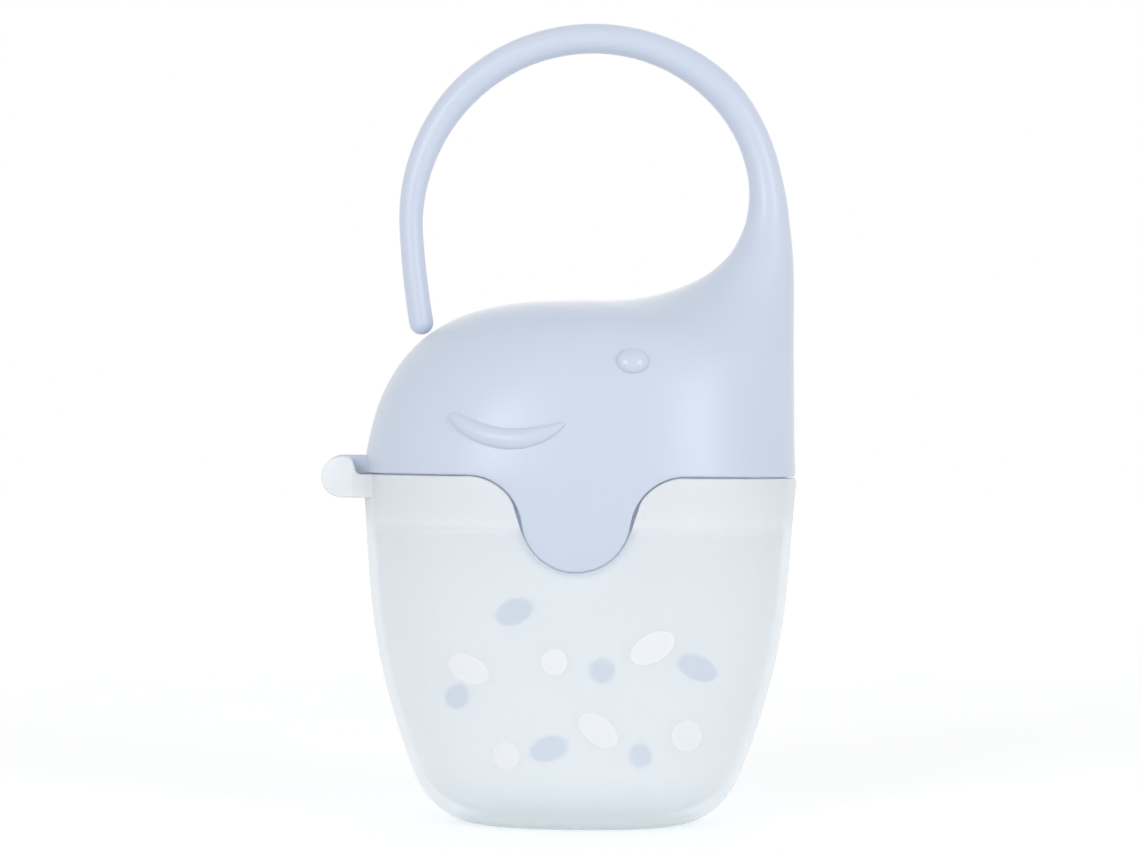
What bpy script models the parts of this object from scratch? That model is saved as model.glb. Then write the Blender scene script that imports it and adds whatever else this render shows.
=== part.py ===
# A two-part pacifier box: a milky tapered cup, and a hinged lid shaped like an animal's head whose
# trunk curls over as a hanging hook. Metres, +Z up. The origin is the centre of the cup's flat
# base, +X points to the trunk's side and -Y to the front. Front and back are alike.
import math

import bmesh
import bpy
from mathutils import Matrix, Vector
from mathutils.bvhtree import BVHTree

# Cup: widths lie along X and depths along Y
RIM_WIDTH = 0.0754
RIM_DEPTH = 0.0500
RIM_HEIGHT = 0.0600
HEEL_WIDTH = 0.0571
HEEL_DEPTH = 0.0432
HEEL_HEIGHT = 0.0090
BASE_WIDTH = 0.0350
BASE_DEPTH = 0.0322
CUP_WALL = 0.0015
CUP_FLOOR = 0.0020
RIM_ROUND = 0.0005

# Gaps between the cup and the lid
SEAM_GAP = 0.0003
LIP_GAP = 0.0004

# Lid: a thin head a little narrower than the cup's rim, and a lip that reaches down inside the cup
LID_SET_IN = 0.00025
LID_WALL = 0.0016
HEAD_HEIGHT = 0.0304
LIP_REACH = 0.0094
LIP_WALL = 0.0012
SHELF_THICKNESS = 0.0014

# Tab of the lid on each broad side, in a notch of the cup's rim
TAB_OFFSET = -0.0006
TAB_RADIUS = 0.0092
TAB_FILLET = 0.0095
TAB_REACH = 0.01625
TAB_THICKNESS = 0.0022
LIP_CHAMFER = 0.0008

# Trunk and hook: a round rod on an arc, then a nearly straight tail that ends just over the head
ROD_DIAMETER = 0.0053
TAIL_RADIUS = 0.1600
TIP_GAP = 0.0004

# Hinge at the left end: the lid's knuckle between two lugs of the cup, on a pin
PIN_DIAMETER = 0.0026
PIN_GAP = 0.0003
PIN_EDGE = 0.0003
KNUCKLE_DIAMETER = 0.0070
KNUCKLE_RISE = 0.0003
KNUCKLE_WIDTH = 0.0100
LUG_DIAMETER = 0.0071
LUG_WIDTH = 0.0040
LUG_EDGE = 0.0004
HINGE_GAP = 0.00035
AXIS_OUT = 0.0032
AXIS_DROP = 0.0005
BLIND_WALL = 0.0012
WEB_ROOT = 0.0008

# Raised eye and smile on each broad side of the head
EYE_WIDTH = 0.0056
EYE_HEIGHT = 0.0044
EYE_RISE = 0.0005
SMILE_LENGTH = 0.0189
SMILE_SAG = 0.0032
SMILE_THICKNESS = 0.0034
SMILE_RISE = 0.0006

# How far a cutter runs past what it cuts, and how deep a joined piece sinks into its neighbour
OVERRUN = 0.0030
SINK = 0.0012

# Slopes and shares of the cup's upright profile
PLAN_POWER = 2.3
RIM_SLOPE_SHARES = (0.085, 0.05)
HEEL_SLOPE_SHARES = (0.38, 0.17)
WALL_HANDLE_SHARES = (0.36, 0.44)
CORNER_SIDE_SHARE = 0.50
CORNER_BASE_SHARE = 0.50

# The head's outline, low to high: left edge, then right edge, each as a share of the lid's half
# width and of the head's height, then the share of the lid's half depth
HEAD_SHARES = (
    (-0.999, 0.000, 1.001, 0.000, 1.000),
    (-0.990, 0.125, 1.000, 0.053, 0.996),
    (-0.960, 0.297, 0.997, 0.135, 0.984),
    (-0.911, 0.470, 0.995, 0.220, 0.964),
    (-0.827, 0.644, 0.994, 0.312, 0.931),
    (-0.703, 0.795, 0.993, 0.397, 0.891),
    (-0.525, 0.912, 0.992, 0.479, 0.835),
    (-0.304, 0.977, 0.991, 0.558, 0.766),
    (-0.080, 0.997, 0.990, 0.631, 0.685),
    (0.134, 1.000, 0.989, 0.713, 0.593),
)
# The sweep from the head up into the trunk, each as a share of the way from the head's last ring
# to the hook's first: left edge across and up, right edge across and up, and the half depth
SWEEP_SHARES = (
    (0.28, 0.05, 0.02, 0.13, 0.21),
    (0.54, 0.18, 0.04, 0.30, 0.46),
    (0.74, 0.36, 0.08, 0.50, 0.68),
    (0.905, 0.64, 0.28, 0.73, 0.85),
)
CAVITY_SWEEP_SHARE = 0.60

# The hook's arc, as shares of the lid's half width: its radius, how far its centre is to the right
# of the cup's, and how far above the head's top
LOOP_RADIUS_SHARE = 0.844
LOOP_ACROSS_SHARE = 0.043
LOOP_LIFT_SHARE = 0.3685
# Along the hook: degrees from its right side, the arc's radius as a share of the loop's, and the
# rod's thickness as a share of ROD_DIAMETER
HOOK_START, HOOK_END = 0.0, 184.0
HOOK_SHARES = (
    (0.0, 0.970, 1.440),
    (6.0, 0.976, 1.260),
    (14.0, 0.984, 1.110),
    (30.0, 1.001, 1.070),
    (45.0, 1.012, 1.110),
    (75.0, 1.006, 1.000),
    (105.0, 1.001, 0.985),
    (135.0, 0.998, 0.985),
    (160.0, 0.994, 0.880),
    (184.0, 0.996, 0.765),
)
TAIL_ROD_SHARE = 0.800
TAIL_STEP_SHARE = 0.125

# The notch's fillets stop short of the level rim, in degrees from +X
FILLET_END_ANGLE = 82.0

# The lug's upper edge runs from its round end down to the cup's rim in an S
LUG_LEAVE_ANGLE = 72.0
LUG_LEAVE_SHARE = 0.38
LUG_ARRIVE_SHARE = 0.41

# Places of the eye and the smile on the head, as shares of its half width and its height
EYE_PLACE_SHARES = (0.231, 0.639)
SMILE_PLACE_SHARES = (-0.334, 0.202)
SMILE_TILT = -3.5
SMILE_TIP_SHARES = (0.30, 0.16)
SMILE_LOW_SHARE = 0.4

# Facets
AROUND = 40
CUP_AROUND = 48
HEAD_STEPS = 2
HOOK_RINGS = 22
TAIL_RINGS = 4
TIP_RINGS = 3
WALL_RINGS = 9
CORNER_RINGS = 5
ARC_STEPS = 16
ROUND_SIDES = 32
SMILE_SIDES = 8
RIM_STEPS = 2
LIP_RINGS = 2
TAB_RINGS = 6

# Colours, linear
LID_COLOUR = (0.63, 0.71, 0.84, 1.0)
CUP_COLOUR = (0.76, 0.82, 0.87, 0.55)
PIN_COLOUR = (0.78, 0.80, 0.82, 1.0)

LID_WIDTH = RIM_WIDTH - 2 * LID_SET_IN
LID_DEPTH = RIM_DEPTH - 2 * LID_SET_IN
LID_BOTTOM = RIM_HEIGHT + SEAM_GAP
LOOP_RADIUS = LID_WIDTH / 2 * LOOP_RADIUS_SHARE
LOOP_CENTRE = Vector((
    LID_WIDTH / 2 * LOOP_ACROSS_SHARE,
    0.0,
    LID_BOTTOM + HEAD_HEIGHT + LID_WIDTH / 2 * LOOP_LIFT_SHARE,
))
AXIS = Vector((-RIM_WIDTH / 2 - AXIS_OUT, 0.0, RIM_HEIGHT - AXIS_DROP))
LUG_INNER_Y = KNUCKLE_WIDTH / 2 + HINGE_GAP
LUG_OUTER_Y = LUG_INNER_Y + LUG_WIDTH


def clear_scene():
    for obj in list(bpy.data.objects):
        bpy.data.objects.remove(obj, do_unlink=True)


def make_material(name, colour, roughness, metallic=0.0):
    material = bpy.data.materials.new(name)
    material.use_nodes = True
    shader = material.node_tree.nodes["Principled BSDF"]
    shader.inputs["Base Color"].default_value = colour
    shader.inputs["Alpha"].default_value = colour[3]
    shader.inputs["Roughness"].default_value = roughness
    shader.inputs["Metallic"].default_value = metallic
    material.diffuse_color = colour
    return material


def add_object(name, bm, material=None):
    bmesh.ops.recalc_face_normals(bm, faces=bm.faces)
    mesh = bpy.data.meshes.new(name)
    bm.to_mesh(mesh)
    bm.free()
    mesh.shade_smooth()
    mesh.set_sharp_from_angle(angle=math.radians(35))
    obj = bpy.data.objects.new(name, mesh)
    bpy.context.scene.collection.objects.link(obj)
    if material:
        mesh.materials.append(material)
    return obj


def as_helper(obj):
    """A shape that another object's Boolean reads, and that isn't itself part of the box."""
    obj.hide_render = True
    obj.display_type = "WIRE"
    return obj


def combine(obj, other, operation):
    modifier = obj.modifiers.new(other.name, "BOOLEAN")
    modifier.object = other
    modifier.operation = operation
    modifier.solver = "EXACT"


def bezier(p0, p1, p2, p3, t):
    s = 1.0 - t
    return s * s * s * p0 + 3 * s * s * t * p1 + 3 * s * t * t * p2 + t * t * t * p3


def through(values, index, t):
    """A smooth curve through tuples of numbers, between those at index and index + 1."""
    last = len(values) - 1
    rows = [values[min(max(index + k, 0), last)] for k in (-1, 0, 1, 2)]
    out = []
    for a, b, c, d in zip(*rows):
        out.append(
            b + 0.5 * t * (c - a + t * (2 * a - 5 * b + 4 * c - d + t * (3 * (b - c) + d - a)))
        )
    return tuple(out)


def oval(left, right, half_depth, power, count):
    """A ring that holds the Y direction, from its left edge to its right edge in the XZ plane."""
    centre = (left + right) / 2
    reach = (right - left) / 2
    ring = []
    for step in range(count):
        turn = 2 * math.pi * step / count
        across, along = math.cos(turn), math.sin(turn)
        across = math.copysign(abs(across) ** (2 / power), across)
        along = math.copysign(abs(along) ** (2 / power), along)
        ring.append(centre + reach * across + Vector((0.0, half_depth * along, 0.0)))
    return ring


def level_oval(half_width, half_depth, height, count):
    left, right = Vector((-half_width, 0.0, height)), Vector((half_width, 0.0, height))
    return oval(left, right, half_depth, PLAN_POWER, count)


def loft(rings, pole=None):
    """Rings joined in order, the first closed flat and the last closed flat or drawn to a pole."""
    bm = bmesh.new()
    rows = [[bm.verts.new(point) for point in ring] for ring in rings]
    count = len(rows[0])
    for low, high in zip(rows, rows[1:]):
        for k in range(count):
            nearby = (k + 1) % count
            bm.faces.new((low[k], low[nearby], high[nearby], high[k]))
    bm.faces.new(reversed(rows[0]))
    if pole is None:
        bm.faces.new(rows[-1])
    else:
        end = bm.verts.new(pole)
        for k in range(count):
            bm.faces.new((rows[-1][k], rows[-1][(k + 1) % count], end))
    return bm


def prism(outline, low_y, high_y):
    """An outline in the XZ plane, extruded along Y."""
    bm = bmesh.new()
    verts = [bm.verts.new((x, low_y, z)) for x, z in outline]
    face = bm.faces.new(verts)
    moved = bmesh.ops.extrude_face_region(bm, geom=[face])["geom"]
    new_verts = [item for item in moved if isinstance(item, bmesh.types.BMVert)]
    bmesh.ops.translate(bm, verts=new_verts, vec=(0.0, high_y - low_y, 0.0))
    return bm


def arc(centre_x, centre_z, radius, start, end, steps):
    """Points on an arc, its angles in degrees from +X towards +Z."""
    points = []
    for step in range(steps + 1):
        turn = math.radians(start + (end - start) * step / steps)
        points.append((centre_x + radius * math.cos(turn), centre_z + radius * math.sin(turn)))
    return points


def cylinder_y(radius, low_y, high_y):
    return prism(arc(AXIS.x, AXIS.z, radius, 0, 360, ROUND_SIDES)[:-1], low_y, high_y)


def end_edges(bm):
    """The edges round the two faces that close a prism."""
    ends = [face for face in bm.faces if abs(face.normal.y) > abs(face.normal.x) + abs(face.normal.z)]
    return list({edge for face in ends for edge in face.edges})


def cup_profile():
    """(height, half width, half depth) of the cup's outside, from the flat base to the rim."""
    rows = []
    for step in range(CORNER_RINGS + 1):
        t = step / CORNER_RINGS
        row = [bezier(0.0, 0.0, HEEL_HEIGHT * CORNER_SIDE_SHARE, HEEL_HEIGHT, t)]
        sides = ((BASE_WIDTH, HEEL_WIDTH), (BASE_DEPTH, HEEL_DEPTH))
        for (base, heel), slope in zip(sides, HEEL_SLOPE_SHARES):
            handle = (heel - base) / 2 * CORNER_BASE_SHARE
            side = heel / 2 - slope * HEEL_HEIGHT * (1 - CORNER_SIDE_SHARE)
            row.append(bezier(base / 2, base / 2 + handle, side, heel / 2, t))
        rows.append(tuple(row))
    wall_height = RIM_HEIGHT - HEEL_HEIGHT
    rise, drop = (wall_height * share for share in WALL_HANDLE_SHARES[::-1])
    for step in range(1, WALL_RINGS + 1):
        t = step / WALL_RINGS
        row = [bezier(HEEL_HEIGHT, HEEL_HEIGHT + rise, RIM_HEIGHT - drop, RIM_HEIGHT, t)]
        sides = ((HEEL_WIDTH, RIM_WIDTH), (HEEL_DEPTH, RIM_DEPTH))
        for (heel, rim), low, high in zip(sides, HEEL_SLOPE_SHARES, RIM_SLOPE_SHARES):
            row.append(bezier(heel / 2, heel / 2 + low * rise, rim / 2 - high * drop, rim / 2, t))
        rows.append(tuple(row))
    return rows


def cup_at(height):
    """Half width and half depth of the cup's outside, its slope carried on above the rim."""
    rows = cup_profile()
    for low, high in zip(rows, rows[1:]):
        if height <= high[0]:
            t = (height - low[0]) / (high[0] - low[0])
            return tuple(a + (b - a) * t for a, b in zip(low[1:], high[1:]))
    past = height - RIM_HEIGHT
    sides = zip((RIM_WIDTH, RIM_DEPTH), RIM_SLOPE_SHARES)
    return tuple(size / 2 + slope * past for size, slope in sides)


def cup_ring(height, inset, count):
    half_width, half_depth = cup_at(height)
    return level_oval(half_width - inset, half_depth - inset, height, count)


def tab_outline(clearance, top):
    """The tab with its two fillets, or its notch when clearance is added on every side."""
    round_radius, fillet = TAB_RADIUS + clearance, TAB_FILLET - clearance
    centre_z = LID_BOTTOM - TAB_REACH + TAB_RADIUS
    fillet_z = LID_BOTTOM - TAB_FILLET
    apart = round_radius + fillet
    fillet_x = math.sqrt(apart * apart - (centre_z - fillet_z) ** 2)
    lean = math.degrees(math.asin((centre_z - fillet_z) / apart))
    tangent = FILLET_END_ANGLE if clearance else 90.0
    left = arc(TAB_OFFSET - fillet_x, fillet_z, fillet, tangent, lean, ARC_STEPS // 2)
    below = arc(TAB_OFFSET, centre_z, round_radius, 180 + lean, 360 - lean, ARC_STEPS)
    right = arc(TAB_OFFSET + fillet_x, fillet_z, fillet, 180 - lean, 180 - tangent, ARC_STEPS // 2)
    outline = left + below[1:] + right[1:]
    return outline + [(outline[-1][0], top), (outline[0][0], top)]


def lug_outline():
    """The lug seen from the front: a round end, a level underside and an S down to the rim."""
    radius = LUG_DIAMETER / 2
    root = -RIM_WIDTH / 2 + CUP_WALL + SINK
    leave = math.radians(LUG_LEAVE_ANGLE)
    start = AXIS + radius * Vector((math.cos(leave), 0.0, math.sin(leave)))
    along = Vector((math.sin(leave), 0.0, -math.cos(leave)))
    end = Vector((-RIM_WIDTH / 2, 0.0, RIM_HEIGHT))
    first = start + along * LUG_DIAMETER * LUG_LEAVE_SHARE / 2
    second = end - Vector((LUG_DIAMETER * LUG_ARRIVE_SHARE / 2, 0.0, 0.0))
    outline = []
    for step in range(ARC_STEPS // 2 + 1):
        point = bezier(end, second, first, start, step / (ARC_STEPS // 2))
        outline.append((point.x, point.z))
    outline += arc(AXIS.x, AXIS.z, radius, LUG_LEAVE_ANGLE, 270, ARC_STEPS)[1:]
    return outline + [(root, AXIS.z - radius), (root, RIM_HEIGHT)]


def lug(name, low_y, high_y):
    bm = prism(lug_outline(), low_y, high_y)
    bm.normal_update()
    edges = end_edges(bm)
    bmesh.ops.bevel(bm, geom=edges, offset=LUG_EDGE, segments=2, profile=0.5, affect="EDGES")
    return as_helper(add_object(name, bm))


def make_cup(material):
    rows = cup_profile()
    top = rows[-1]
    outer = [level_oval(a, b, z, CUP_AROUND) for z, a, b in rows[:-1]]
    for step in range(RIM_STEPS + 1):
        turn = math.pi / 2 * step / RIM_STEPS
        inset = RIM_ROUND * (1 - math.cos(turn))
        height = top[0] - RIM_ROUND * (1 - math.sin(turn))
        outer.append(level_oval(top[1] - inset, top[2] - inset, height, CUP_AROUND))
    cup = add_object("cup", loft(outer), material)

    # The hollow keeps the wall's thickness, and below the heel it narrows to a flat floor
    inner = []
    for z, a, b in rows:
        height = max(z, CUP_FLOOR + z * (HEEL_HEIGHT - CUP_FLOOR) / HEEL_HEIGHT)
        inner.append(level_oval(a - CUP_WALL, b - CUP_WALL, height, CUP_AROUND))
    inner.append(cup_ring(RIM_HEIGHT + OVERRUN, CUP_WALL, CUP_AROUND))
    hollow = as_helper(add_object("cup_hollow", loft(inner)))

    past = RIM_DEPTH / 2 + OVERRUN
    notch = prism(tab_outline(SEAM_GAP, RIM_HEIGHT + OVERRUN), -past, past)
    notch = as_helper(add_object("rim_notches", notch))
    relief = cylinder_y(KNUCKLE_DIAMETER / 2 + HINGE_GAP, -LUG_INNER_Y, LUG_INNER_Y)
    relief = as_helper(add_object("knuckle_relief", relief))
    bore = cylinder_y(PIN_DIAMETER / 2 + PIN_GAP, -LUG_OUTER_Y + BLIND_WALL, LUG_OUTER_Y + OVERRUN)
    bore = as_helper(add_object("lug_bore", bore))

    combine(cup, lug("front_lug", -LUG_OUTER_Y, -LUG_INNER_Y), "UNION")
    combine(cup, lug("rear_lug", LUG_INNER_Y, LUG_OUTER_Y), "UNION")
    for cutter in (hollow, notch, relief, bore):
        combine(cup, cutter, "DIFFERENCE")
    return cup


def hook_at(angle):
    """Radius of the hook's arc and half thickness of its rod at an angle in degrees."""
    for index in range(len(HOOK_SHARES) - 1):
        low, high = HOOK_SHARES[index], HOOK_SHARES[index + 1]
        if angle <= high[0]:
            break
    t = (angle - low[0]) / (high[0] - low[0])
    _, radius, rod = through(HOOK_SHARES, index, t)
    return LOOP_RADIUS * radius, ROD_DIAMETER / 2 * rod


def tail_at(turned):
    """A point on the tail's centre line, and the direction out of its curve there."""
    start = math.radians(HOOK_END)
    out = Vector((math.cos(start), 0.0, math.sin(start)))
    pivot = LOOP_CENTRE + out * (hook_at(HOOK_END)[0] - TAIL_RADIUS)
    out = Vector((math.cos(start + turned), 0.0, math.sin(start + turned)))
    return pivot + out * TAIL_RADIUS, out


def tail_turn(edge, tip_half):
    """The longest tail, as an angle, whose round end keeps TIP_GAP from the head's left edge."""
    turned, room = 0.0, LOOP_RADIUS
    while room > tip_half + TIP_GAP and turned < LOOP_RADIUS / TAIL_RADIUS:
        turned += TIP_GAP / TAIL_RADIUS * TAIL_STEP_SHARE
        centre, _ = tail_at(turned)
        room = min(distance(centre, a, b) for a, b in zip(edge, edge[1:]))
    return turned


def distance(point, start, end):
    """How far a point is from the stretch between two others."""
    along = end - start
    t = min(max((point - start).dot(along) / along.length_squared, 0.0), 1.0)
    return (start + along * t - point).length


def arc_rings():
    """(left edge, right edge, half depth) of the rod along the hook's arc."""
    rings = []
    for step in range(HOOK_RINGS + 1):
        angle = HOOK_START + (HOOK_END - HOOK_START) * step / HOOK_RINGS
        radius, half = hook_at(angle)
        out = Vector((math.cos(math.radians(angle)), 0.0, math.sin(math.radians(angle))))
        rings.append((LOOP_CENTRE + out * (radius - half), LOOP_CENTRE + out * (radius + half), half))
    return rings


def tail_rings(edge):
    """The tail's rings and its rounded tip's, and the tip's end, over the head's left edge."""
    rings = []
    _, half = hook_at(HOOK_END)
    tip_half = ROD_DIAMETER / 2 * TAIL_ROD_SHARE
    turned = tail_turn(edge, tip_half)
    for step in range(1, TAIL_RINGS + 1):
        middle, out = tail_at(turned * step / TAIL_RINGS)
        thick = half + (tip_half - half) * step / TAIL_RINGS
        rings.append((middle - out * thick, middle + out * thick, thick))
    onward = Vector((-out.z, 0.0, out.x))
    for step in range(1, TIP_RINGS + 1):
        turn = math.pi / 2 * step / (TIP_RINGS + 1)
        thick = tip_half * math.cos(turn)
        here = middle + onward * tip_half * math.sin(turn)
        rings.append((here - out * thick, here + out * thick, thick))
    return rings, middle + onward * tip_half


def head_rings(hook_start):
    """(left edge, right edge, half depth) of each chosen ring from the seam to the trunk."""
    rings = []
    for left_x, left_z, right_x, right_z, depth in HEAD_SHARES:
        left = Vector((left_x * LID_WIDTH / 2, 0.0, LID_BOTTOM + left_z * HEAD_HEIGHT))
        right = Vector((right_x * LID_WIDTH / 2, 0.0, LID_BOTTOM + right_z * HEAD_HEIGHT))
        rings.append((left, right, depth * LID_DEPTH / 2))
    left, right, depth = rings[-1]
    for left_x, left_z, right_x, right_z, share in SWEEP_SHARES:
        to_left, to_right = hook_start[0] - left, hook_start[1] - right
        rings.append((
            left + Vector((to_left.x * left_x, 0.0, to_left.z * left_z)),
            right + Vector((to_right.x * right_x, 0.0, to_right.z * right_z)),
            depth + (hook_start[2] - depth) * share,
        ))
    return rings


def smooth_rings(rings, following):
    """The chosen rings with HEAD_STEPS smooth ones for each, up to but not with the hook's first."""
    rows = [(left.x, left.z, right.x, right.z, depth) for left, right, depth in rings + following]
    out = []
    for index in range(len(rings)):
        for step in range(HEAD_STEPS):
            lx, lz, rx, rz, depth = through(rows, index, step / HEAD_STEPS)
            out.append((Vector((lx, 0.0, lz)), Vector((rx, 0.0, rz)), depth))
    return out


def lid_shell():
    """The solid head with trunk and hook, and the rings of the head moved in by the wall."""
    hook = arc_rings()
    head = smooth_rings(head_rings(hook[0]), hook[:2])
    tail, tip = tail_rings([left for left, _, _ in head])
    hook += tail
    points = []
    for index, (left, right, depth) in enumerate(head + hook):
        share = min(index / (HEAD_STEPS * (len(HEAD_SHARES) - 1)), 1.0)
        power = PLAN_POWER + (2.0 - PLAN_POWER) * share
        points.append(oval(left, right, depth, power, AROUND))
    bm = loft(points, tip)
    bmesh.ops.recalc_face_normals(bm, faces=bm.faces)
    bm.normal_update()
    bm.verts.ensure_lookup_table()
    first = HEAD_STEPS
    last = HEAD_STEPS * (len(HEAD_SHARES) - 1 + round(len(SWEEP_SHARES) * CAVITY_SWEEP_SHARE))
    inner = []
    for row in range(first, last + 1):
        verts = bm.verts[row * AROUND:(row + 1) * AROUND]
        inner.append([vert.co - vert.normal * LID_WALL for vert in verts])
    return bm, inner


def surface_point(tree, x, z):
    """Where a line along +Y meets the front of the head, with the outward normal there."""
    place, normal, _, _ = tree.ray_cast(Vector((x, -LID_DEPTH, z)), Vector((0.0, 1.0, 0.0)))
    return place, normal


def head_place(shares):
    across, up = shares
    return Vector((across * LID_WIDTH / 2, 0.0, LID_BOTTOM + up * HEAD_HEIGHT))


def reliefs(tree):
    """The raised eye and smile of the front, and the same on the back."""
    bm = bmesh.new()
    eye = head_place(EYE_PLACE_SHARES)
    place, normal = surface_point(tree, eye.x, eye.z)
    turned = normal.to_track_quat("Y", "Z").to_matrix().to_4x4()
    size = Matrix.Diagonal((EYE_WIDTH / 2, EYE_RISE, EYE_HEIGHT / 2, 1.0))
    place = Matrix.Translation(place) @ turned @ size
    bmesh.ops.create_uvsphere(bm, u_segments=16, v_segments=8, radius=1.0, matrix=place)
    radius = (SMILE_LENGTH ** 2 / 4 + SMILE_SAG ** 2) / (2 * SMILE_SAG)
    reach = math.asin(SMILE_LENGTH / 2 / radius)
    low = head_place(SMILE_PLACE_SHARES)
    tilt = math.radians(SMILE_TILT)
    centre = low + radius * Vector((-math.sin(tilt), 0.0, math.cos(tilt)))
    rows = []
    for step in range(ARC_STEPS + 1):
        along = 2 * step / ARC_STEPS - 1
        turn = -math.pi / 2 + tilt + reach * along
        out = Vector((math.cos(turn), 0.0, math.sin(turn)))
        place, normal = surface_point(tree, centre.x + radius * out.x, centre.z + radius * out.z)
        tip = SMILE_TIP_SHARES[0] if along < 0 else SMILE_TIP_SHARES[1]
        full = tip + (1 - tip) * math.sqrt(1 - along * along)
        across = (out - normal * out.dot(normal)).normalized()
        high = SMILE_RISE * (SMILE_LOW_SHARE + (1 - SMILE_LOW_SHARE) * full)
        row = []
        for side in range(SMILE_SIDES):
            angle = 2 * math.pi * side / SMILE_SIDES
            wide = across * math.cos(angle) * SMILE_THICKNESS / 2 * full
            row.append(place + wide + normal * math.sin(angle) * high)
        rows.append([bm.verts.new(point) for point in row])
    for a, b in zip(rows, rows[1:]):
        for k in range(SMILE_SIDES):
            nearby = (k + 1) % SMILE_SIDES
            bm.faces.new((a[k], a[nearby], b[nearby], b[k]))
    bm.faces.new(rows[0])
    bm.faces.new(rows[-1])
    obj = as_helper(add_object("eyes_and_smiles", bm))
    mirror = obj.modifiers.new("other_side", "MIRROR")
    mirror.use_axis = (False, True, False)
    mirror.use_mirror_merge = False
    return obj


def make_lid(material):
    bm, inner = lid_shell()
    tree = BVHTree.FromBMesh(bm)
    lid = add_object("lid", bm, material)

    # The lip follows the cup's inside and rises into the lid's shelf
    lip_bottom = LID_BOTTOM - LIP_REACH
    shelf = LID_BOTTOM + SHELF_THICKNESS
    lip_inset = CUP_WALL + LIP_GAP
    step = LIP_REACH / LIP_RINGS
    lip = [cup_ring(lip_bottom + step * k, lip_inset, AROUND) for k in range(LIP_RINGS + 1)]
    lip.append(cup_ring(shelf, lip_inset + SINK, AROUND))
    lip = as_helper(add_object("lip", loft(lip)))

    # The tabs carry on the head's surface down over the notches
    tab_bottom = LID_BOTTOM - TAB_REACH - OVERRUN
    rise = (LID_BOTTOM - tab_bottom) / TAB_RINGS
    skin = [cup_ring(tab_bottom + rise * k, LID_SET_IN, AROUND) for k in range(TAB_RINGS + 1)]
    skin.append(cup_ring(shelf, LID_SET_IN + SINK, AROUND))
    tabs = add_object("tabs", loft(skin))
    blade = prism(tab_outline(0.0, shelf + OVERRUN), -LID_DEPTH, LID_DEPTH)
    combine(as_helper(tabs), as_helper(add_object("tab_outline", blade)), "INTERSECT")

    # Hinge knuckle, a little above the pin, with a level-topped web to the head
    radius = KNUCKLE_DIAMETER / 2
    middle = AXIS.z + KNUCKLE_RISE
    meet = math.degrees(math.asin((LID_BOTTOM - middle) / radius))
    web_end = -LID_WIDTH / 2 + WEB_ROOT
    outline = arc(AXIS.x, middle, radius, meet, -270, ROUND_SIDES)
    outline += [(web_end, middle + radius), (web_end, LID_BOTTOM)]
    knuckle = as_helper(add_object("knuckle", prism(outline, -KNUCKLE_WIDTH / 2, KNUCKLE_WIDTH / 2)))

    # One hollow: behind the tabs, through the lip and shelf, and up under the head
    behind_tab = LID_SET_IN + TAB_THICKNESS
    inside_lip = lip_inset + LIP_WALL
    hollow = [
        cup_ring(tab_bottom - OVERRUN, behind_tab, AROUND),
        cup_ring(lip_bottom - LIP_CHAMFER, behind_tab, AROUND),
        cup_ring(lip_bottom, inside_lip, AROUND),
        cup_ring(LID_BOTTOM, inside_lip, AROUND),
        cup_ring(shelf - LIP_CHAMFER, inside_lip, AROUND),
    ]
    hollow = as_helper(add_object("lid_hollow", loft(hollow + inner)))
    bore = cylinder_y(PIN_DIAMETER / 2 + PIN_GAP, -KNUCKLE_WIDTH, KNUCKLE_WIDTH)
    bore = as_helper(add_object("knuckle_bore", bore))

    for other in (lip, tabs, knuckle, reliefs(tree)):
        combine(lid, other, "UNION")
    for cutter in (hollow, bore):
        combine(lid, cutter, "DIFFERENCE")
    return lid


def make_pin(material):
    low, high = -LUG_OUTER_Y + BLIND_WALL + PIN_GAP, LUG_OUTER_Y
    bm = cylinder_y(PIN_DIAMETER / 2, low, high)
    bm.normal_update()
    bmesh.ops.bevel(bm, geom=end_edges(bm), offset=PIN_EDGE, segments=1, affect="EDGES")
    return add_object("hinge_pin", bm, material)


def place_origin(obj, origin):
    """Moves the object's origin to a point without moving its shape."""
    obj.data.transform(Matrix.Translation(-origin))
    obj.location = origin


def main():
    clear_scene()
    lid_material = make_material("moulded_lid_plastic", LID_COLOUR, 0.45)
    cup_material = make_material("milky_cup_plastic", CUP_COLOUR, 0.35)
    pin_material = make_material("pin_steel", PIN_COLOUR, 0.3, 1.0)
    make_cup(cup_material)
    lid = make_lid(lid_material)
    pin = make_pin(pin_material)
    for obj in (lid, pin):
        place_origin(obj, AXIS)


main()
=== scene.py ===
import math

import bpy
from mathutils import Matrix, Vector


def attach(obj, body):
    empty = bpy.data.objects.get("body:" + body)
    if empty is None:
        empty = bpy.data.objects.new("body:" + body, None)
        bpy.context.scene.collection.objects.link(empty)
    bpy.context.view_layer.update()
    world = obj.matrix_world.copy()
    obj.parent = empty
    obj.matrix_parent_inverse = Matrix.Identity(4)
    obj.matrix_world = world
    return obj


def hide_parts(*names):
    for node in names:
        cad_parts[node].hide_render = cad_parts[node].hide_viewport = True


# Pacifier box: a frosted cup and a satin blue lid like an animal's head, whose trunk is the hanger
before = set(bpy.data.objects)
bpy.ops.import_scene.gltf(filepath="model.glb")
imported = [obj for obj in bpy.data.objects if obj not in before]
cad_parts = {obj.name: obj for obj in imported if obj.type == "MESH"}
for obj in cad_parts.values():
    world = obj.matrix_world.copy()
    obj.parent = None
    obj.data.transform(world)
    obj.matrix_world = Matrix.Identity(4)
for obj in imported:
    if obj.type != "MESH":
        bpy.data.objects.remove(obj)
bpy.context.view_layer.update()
print("CAD nodes loaded")


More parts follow.
